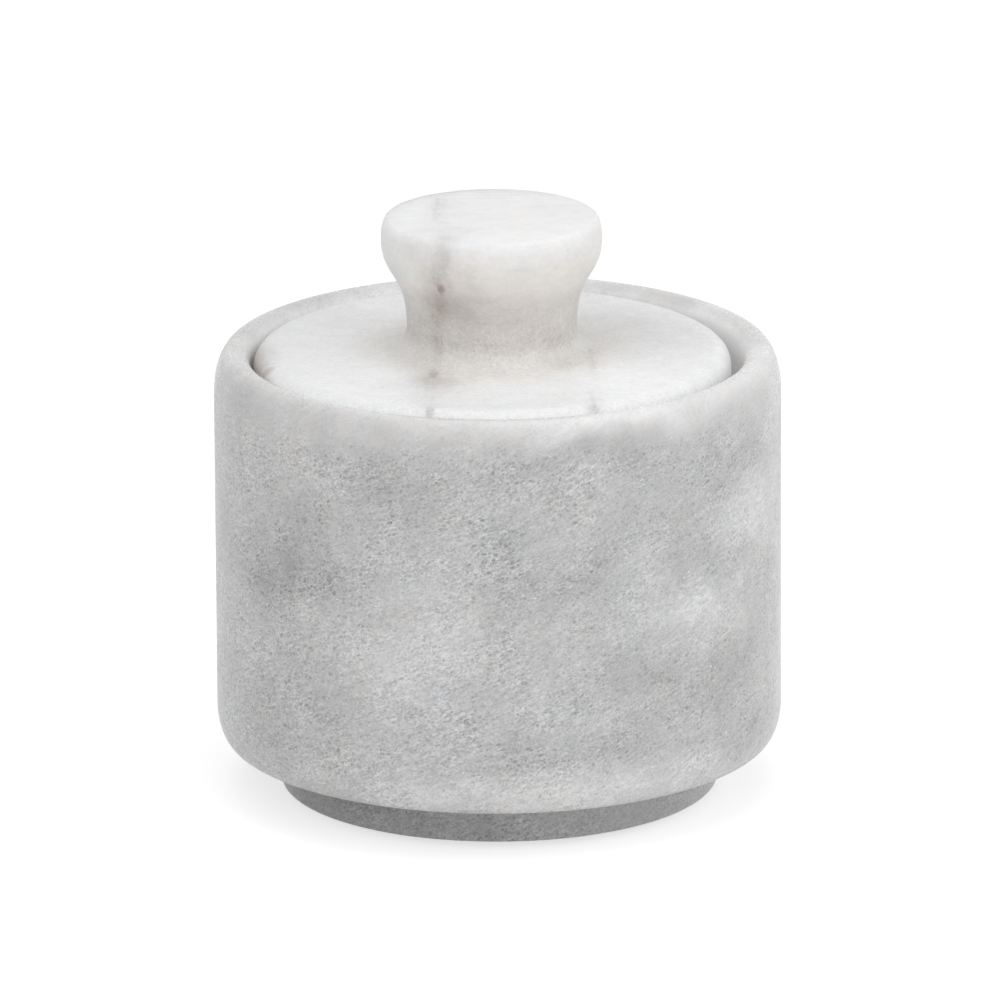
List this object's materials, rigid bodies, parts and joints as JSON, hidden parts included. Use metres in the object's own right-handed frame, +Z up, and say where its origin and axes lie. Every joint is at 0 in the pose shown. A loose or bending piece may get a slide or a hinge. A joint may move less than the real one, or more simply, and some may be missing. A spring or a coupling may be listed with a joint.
{
  "type": "salt cellar",
  "caption": "Round marble salt cellar: straight-sided bowl on a narrower foot, with a loose drop-in lid that lifts off by a flared knob.",
  "frame": {"origin": "on the table, on the bowl's turning axis", "axes": "+Z up along the bowl's axis, the way the lid lifts; -Y is the side the picture shows"},
  "size_m": [0.099, 0.099, 0.1029],
  "materials": {
    "grey_marble": "honed",
    "white_marble": "honed",
    "bumper_rubber": "matte"
  },
  "bodies": {
    "bowl": {"bowl": "grey_marble", "foot_bumpers": "bumper_rubber"},
    "lid": {"lid": "white_marble"}
  },
  "joints": [
    {"name": "lid_lift", "type": "slide", "parent": "bowl", "child": "lid", "axis": [0, 0, 1], "range_m": [0, 0.1]}
  ]
}
